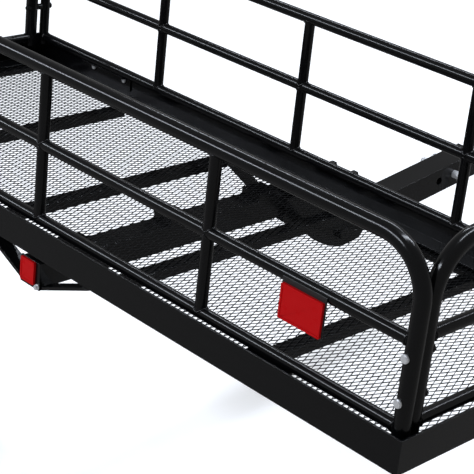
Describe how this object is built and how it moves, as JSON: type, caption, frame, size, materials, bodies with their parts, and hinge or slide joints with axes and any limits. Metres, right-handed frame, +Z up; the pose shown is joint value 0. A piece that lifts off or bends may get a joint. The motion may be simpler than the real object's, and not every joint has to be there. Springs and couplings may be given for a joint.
{
  "type": "hitch cargo carrier",
  "caption": "Folding hitch cargo carrier: mesh-floored steel tray with tube rails on a square receiver shank, with pins, clips and red reflectors.",
  "frame": {"origin": "centre of the free hitch-pin hole in the shank, on the shank's centre line", "axes": "+Y along the shank towards the vehicle, +Z up, +X to the right seen from behind the vehicle"},
  "size_m": [1.524, 1.1004, 0.5656],
  "materials": {
    "black_powder_coat": "gloss",
    "floor_mesh_paint": "satin",
    "zinc_hardware": "satin",
    "sleeve_steel": "satin",
    "red_reflector": "gloss",
    "reflector_backing": "matt"
  },
  "bodies": {
    "shank": {"shank_tube": "black_powder_coat", "pivot_sleeve": "sleeve_steel"},
    "hitch_pin": {"hitch_pin": "zinc_hardware"},
    "hitch_clip": {"hitch_clip": "zinc_hardware"},
    "lock_pin": {"lock_pin": "zinc_hardware"},
    "lock_clip": {"lock_clip": "zinc_hardware"},
    "tray": {"rear_angle": "black_powder_coat", "front_angle": "black_powder_coat", "left_angle": "black_powder_coat", "right_angle": "black_powder_coat", "floor_long_bars": "black_powder_coat", "floor_end_bars": "black_powder_coat", "floor_slats": "black_powder_coat", "floor_mesh": "floor_mesh_paint", "main_beam": "black_powder_coat", "beam_risers": "black_powder_coat", "beam_end_plate": "black_powder_coat", "beam_reflector": "red_reflector", "beam_reflector_bolt": "zinc_hardware", "hinge_plate_left": "black_powder_coat", "hinge_plate_right": "black_powder_coat", "hinge_pads": "black_powder_coat", "hinge_stop_plate": "black_powder_coat", "pivot_bolt": "black_powder_coat", "pivot_nut": "black_powder_coat", "rear_brace_left": "black_powder_coat", "rear_brace_right": "black_powder_coat", "front_brace_left": "black_powder_coat", "front_brace_right": "black_powder_coat", "rear_hoop": "black_powder_coat", "rear_mid_rail": "black_powder_coat", "rear_bottom_rail": "black_powder_coat", "rear_post_left": "black_powder_coat", "rear_post_centre": "black_powder_coat", "rear_post_right": "black_powder_coat", "front_hoop": "black_powder_coat", "front_mid_rail": "black_powder_coat", "front_bottom_rail": "black_powder_coat", "front_post_left": "black_powder_coat", "front_post_centre": "black_powder_coat", "front_post_right": "black_powder_coat", "left_hoop": "black_powder_coat", "left_mid_rail": "black_powder_coat", "left_bottom_rail": "black_powder_coat", "right_hoop": "black_powder_coat", "right_mid_rail": "black_powder_coat", "right_bottom_rail": "black_powder_coat", "corner_bolts": "zinc_hardware", "front_corner_bolts": "black_powder_coat", "corner_nuts": "black_powder_coat", "corner_spacers": "black_powder_coat", "front_tray_brackets": "black_powder_coat", "rear_tray_brackets": "black_powder_coat", "end_tray_brackets": "black_powder_coat", "bracket_bolts": "zinc_hardware", "bracket_nuts": "zinc_hardware", "rear_reflectors": "red_reflector", "reflector_backings": "reflector_backing", "front_outer_plate": "black_powder_coat", "outer_plate_bolts": "black_powder_coat"}
  },
  "joints": [
    {"name": "tray_fold", "type": "hinge", "parent": "shank", "child": "tray", "pos_m": [0, -0.292, 0], "axis": [-1, 0, 0], "range_deg": [0, 82]},
    {"name": "lock_pin_float", "type": "slide", "parent": "tray", "child": "lock_pin", "axis": [1, 0, 0], "range_m": [-0.0055, 0]},
    {"name": "lock_clip_pull", "type": "slide", "parent": "lock_pin", "child": "lock_clip", "axis": [0, 0, 1], "range_m": [0, 0.045]},
    {"name": "hitch_pin_float", "type": "slide", "parent": "shank", "child": "hitch_pin", "axis": [1, 0, 0], "range_m": [-0.0073, 0.0173]},
    {"name": "hitch_clip_pull", "type": "slide", "parent": "hitch_pin", "child": "hitch_clip", "axis": [0, 0.866, 0.5], "range_m": [0, 0.05]}
  ]
}
